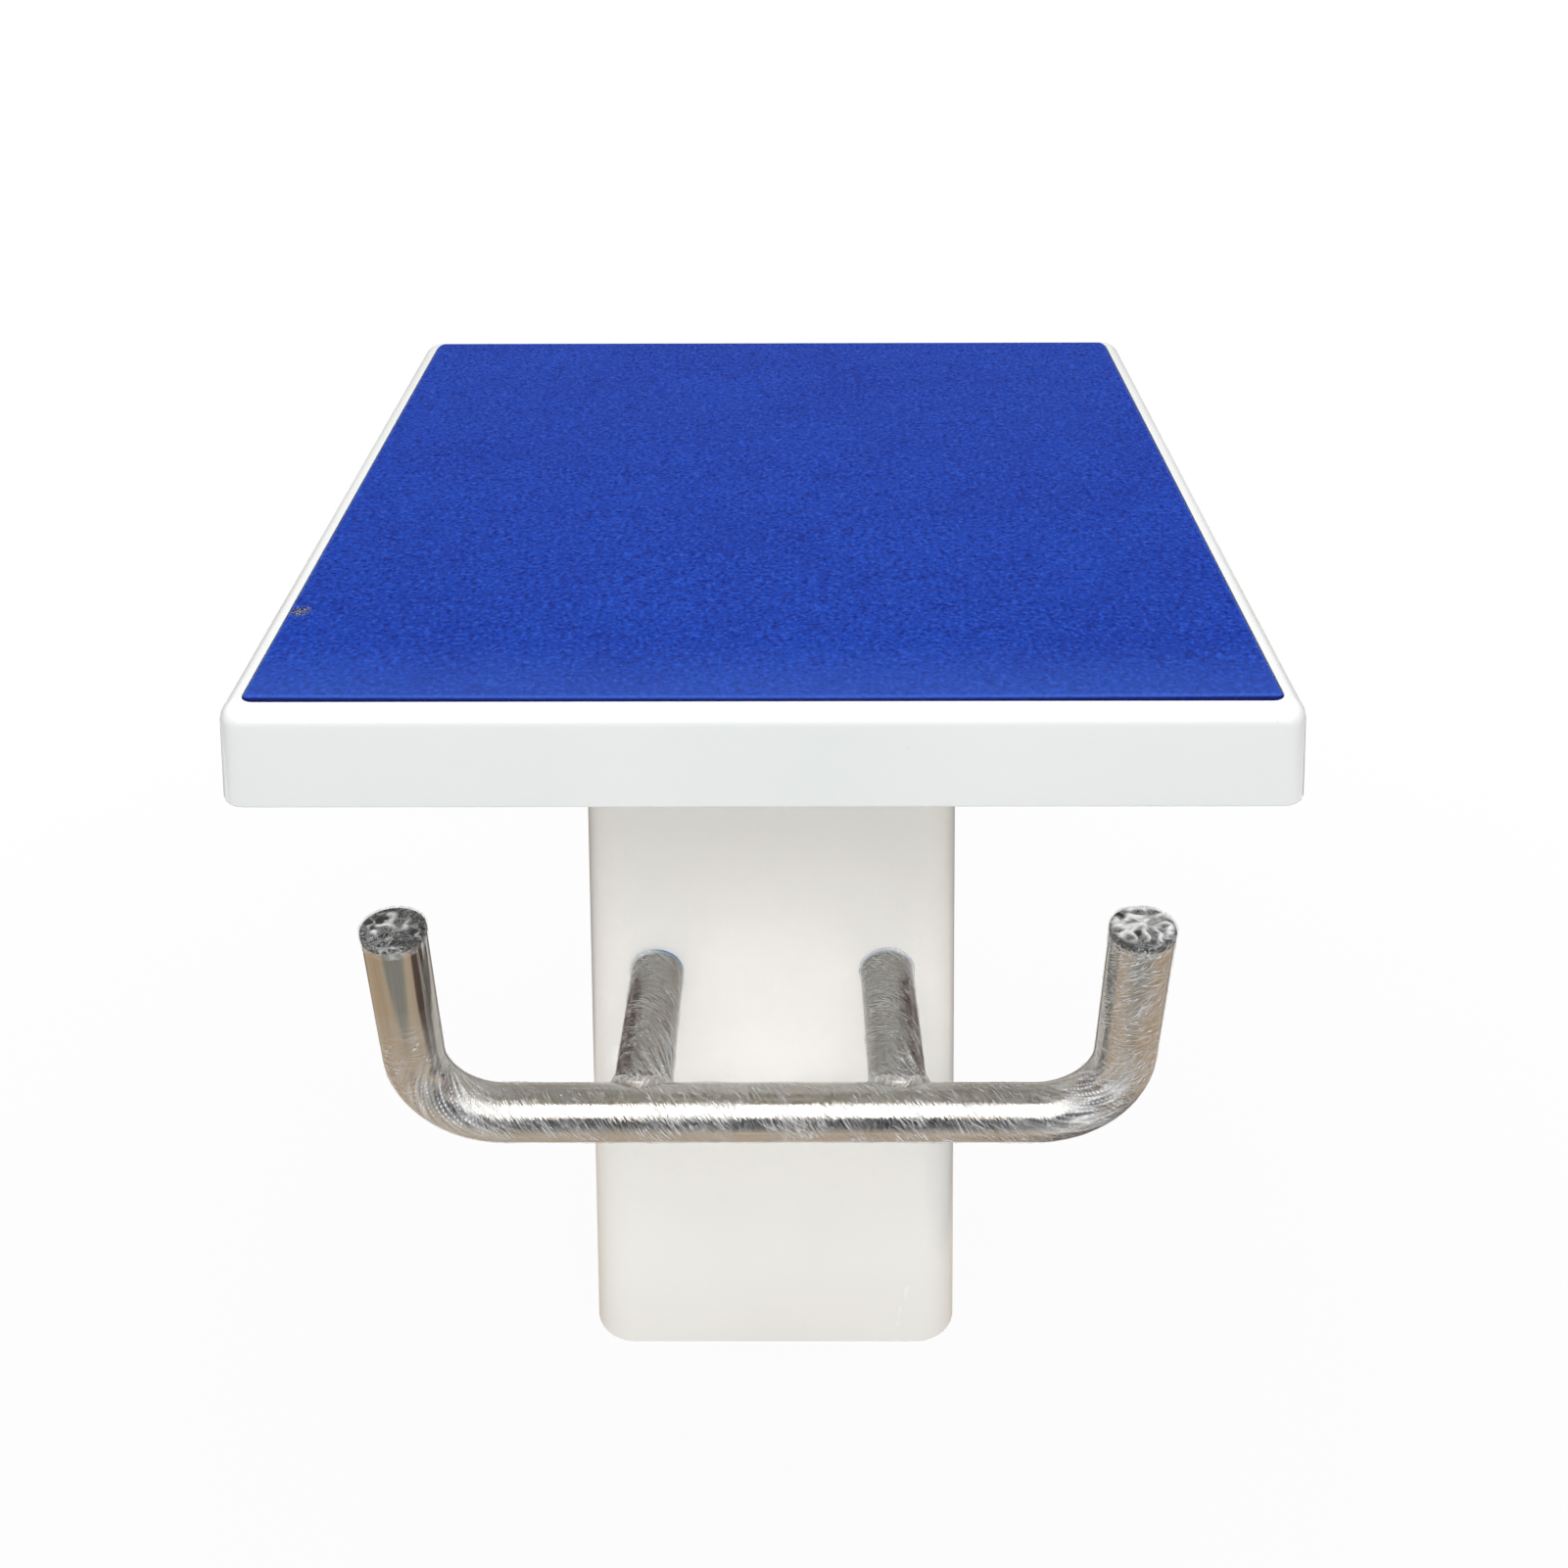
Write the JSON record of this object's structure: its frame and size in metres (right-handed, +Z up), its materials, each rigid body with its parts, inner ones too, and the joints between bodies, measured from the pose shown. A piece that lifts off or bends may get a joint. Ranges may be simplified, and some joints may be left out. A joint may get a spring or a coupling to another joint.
{
  "type": "swimming starting block",
  "caption": "Pool starting block: sloping platform with a blue non-slip pad on a tapered hollow pedestal, with a bent steel backstroke handle on two support tubes.",
  "frame": {"origin": "middle of the block's outline on the floor", "axes": "+X to the right as seen from the pool, +Y from the pool side to the back, +Z up"},
  "size_m": [0.5136, 0.5166, 0.7729],
  "materials": {
    "gelcoat_white": "gloss",
    "gelcoat_pedestal": "gloss",
    "pad_blue": "satin, pebble-textured",
    "core_board": "matte",
    "bare_laminate": "matte",
    "galvanised_plate": "satin",
    "stainless_tube": "polished",
    "stainless_fixings": "satin",
    "plug_black": "satin",
    "seal_rubber": "satin"
  },
  "bodies": {
    "root": {"platform_shell": "gelcoat_white", "pedestal_shell": "gelcoat_pedestal", "nonslip_pad": "pad_blue", "deck_core": "core_board", "rib_left": "bare_laminate", "rib_right": "bare_laminate", "rib_front": "bare_laminate", "pedestal_floor": "bare_laminate", "pedestal_flange": "bare_laminate", "anchor_plate": "galvanised_plate", "handle_bar": "stainless_tube", "support_arm_left": "stainless_tube", "support_arm_right": "stainless_tube", "weld_bead_left": "stainless_tube", "weld_bead_right": "stainless_tube", "backing_plate": "stainless_fixings", "arm_stud_left": "stainless_fixings", "arm_stud_right": "stainless_fixings", "arm_washer_left": "stainless_fixings", "arm_washer_right": "stainless_fixings", "arm_nut_left": "stainless_fixings", "arm_nut_right": "stainless_fixings", "flange_screw_1": "stainless_fixings", "flange_screw_2": "stainless_fixings", "flange_screw_3": "stainless_fixings", "flange_screw_4": "stainless_fixings", "flange_screw_5": "stainless_fixings", "flange_screw_6": "stainless_fixings", "flange_screw_7": "stainless_fixings", "flange_screw_8": "stainless_fixings", "flange_washer_1": "stainless_fixings", "flange_washer_2": "stainless_fixings", "flange_washer_3": "stainless_fixings", "flange_washer_4": "stainless_fixings", "flange_washer_5": "stainless_fixings", "flange_washer_6": "stainless_fixings", "flange_washer_7": "stainless_fixings", "flange_washer_8": "stainless_fixings", "horn_plug_left": "plug_black", "horn_plug_right": "plug_black", "arm_seal_left": "seal_rubber", "arm_seal_right": "seal_rubber"}
  },
  "joints": []
}
